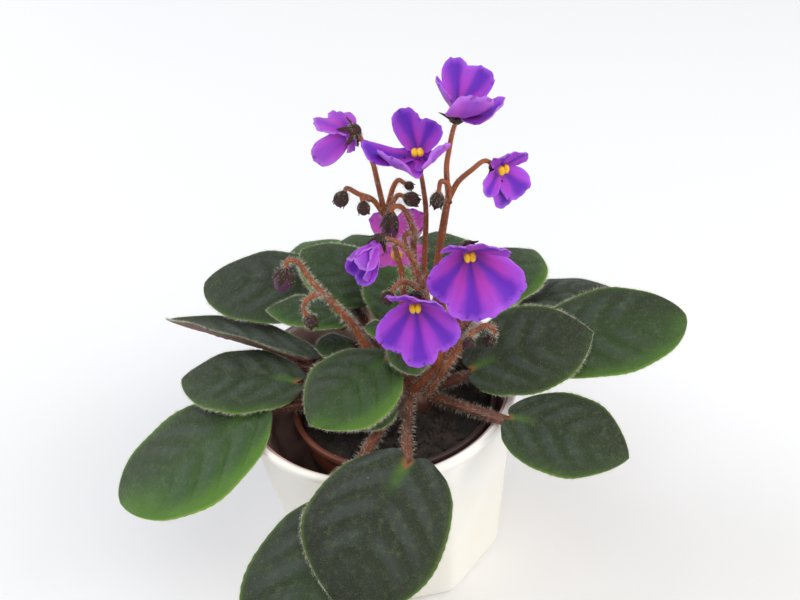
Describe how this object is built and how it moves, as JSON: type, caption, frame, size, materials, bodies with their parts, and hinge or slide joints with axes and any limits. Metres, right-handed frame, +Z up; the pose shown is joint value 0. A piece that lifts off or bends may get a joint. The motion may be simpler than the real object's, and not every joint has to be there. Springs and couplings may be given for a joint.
{
  "type": "potted african violet",
  "caption": "African violet in a white eight-sided cover pot: a rosette of hairy heart-shaped leaves with arching stalks of violet blooms and buds.",
  "frame": {"origin": "middle of the pot's flat base", "axes": "+Z up out of the pot, -Y towards the side where the heart-shaped leaf hangs over the rim, +X to that side's right"},
  "size_m": [0.182, 0.172, 0.1748],
  "materials": {
    "white_plastic": "smooth matte white",
    "brown_plastic": "matte mauve brown",
    "terracotta_plastic": "thin satin orange brown",
    "peat": "loose dark crumbs",
    "leaf_stalk": "soft, brown red with fine pale hairs",
    "leaf": "velvety, dark green with fine silver hairs",
    "flower_stalk": "soft, red brown with long pale hairs",
    "petal": "soft violet with a darker stripe on each lobe",
    "anther": "smooth bright yellow"
  },
  "bodies": {
    "root": {"pot": "white_plastic", "pot_lining": "brown_plastic", "nursery_pot": "terracotta_plastic", "soil": "peat", "crown": "leaf_stalk", "leaf_back": "leaf", "leaf_back_left": "leaf", "leaf_back_left_low": "leaf", "leaf_back_middle": "leaf", "leaf_back_right": "leaf", "leaf_back_right_low": "leaf", "leaf_back_veined": "leaf", "leaf_far_right": "leaf", "leaf_front_heart": "leaf", "leaf_front_left_low": "leaf", "leaf_inner_back": "leaf", "leaf_inner_front": "leaf", "leaf_inner_left": "leaf", "leaf_left_edge_on": "leaf", "leaf_left_low": "leaf", "leaf_left_middle": "leaf", "leaf_low_front": "leaf", "leaf_right": "leaf", "leaf_right_low": "leaf", "leaf_tucked_left": "leaf", "leaf_under_bloom": "leaf", "leaf_young_left": "leaf", "flower_stalk_arched": "flower_stalk", "flower_stalk_bud_left": "flower_stalk", "flower_stalk_front": "flower_stalk", "flower_stalk_left": "flower_stalk", "flower_stalk_middle": "flower_stalk", "flower_stalk_right": "flower_stalk", "flower_stalk_tall": "flower_stalk", "flower_stalk_young_right": "flower_stalk", "bloom_behind": "petal", "bloom_front": "petal", "bloom_large": "petal", "bloom_left": "petal", "bloom_middle": "petal", "bloom_opening": "petal", "bloom_right": "petal", "bloom_top": "petal", "anthers_behind": "anther", "anthers_front": "anther", "anthers_large": "anther", "anthers_middle": "anther", "anthers_right": "anther", "anthers_top": "anther"}
  },
  "joints": []
}
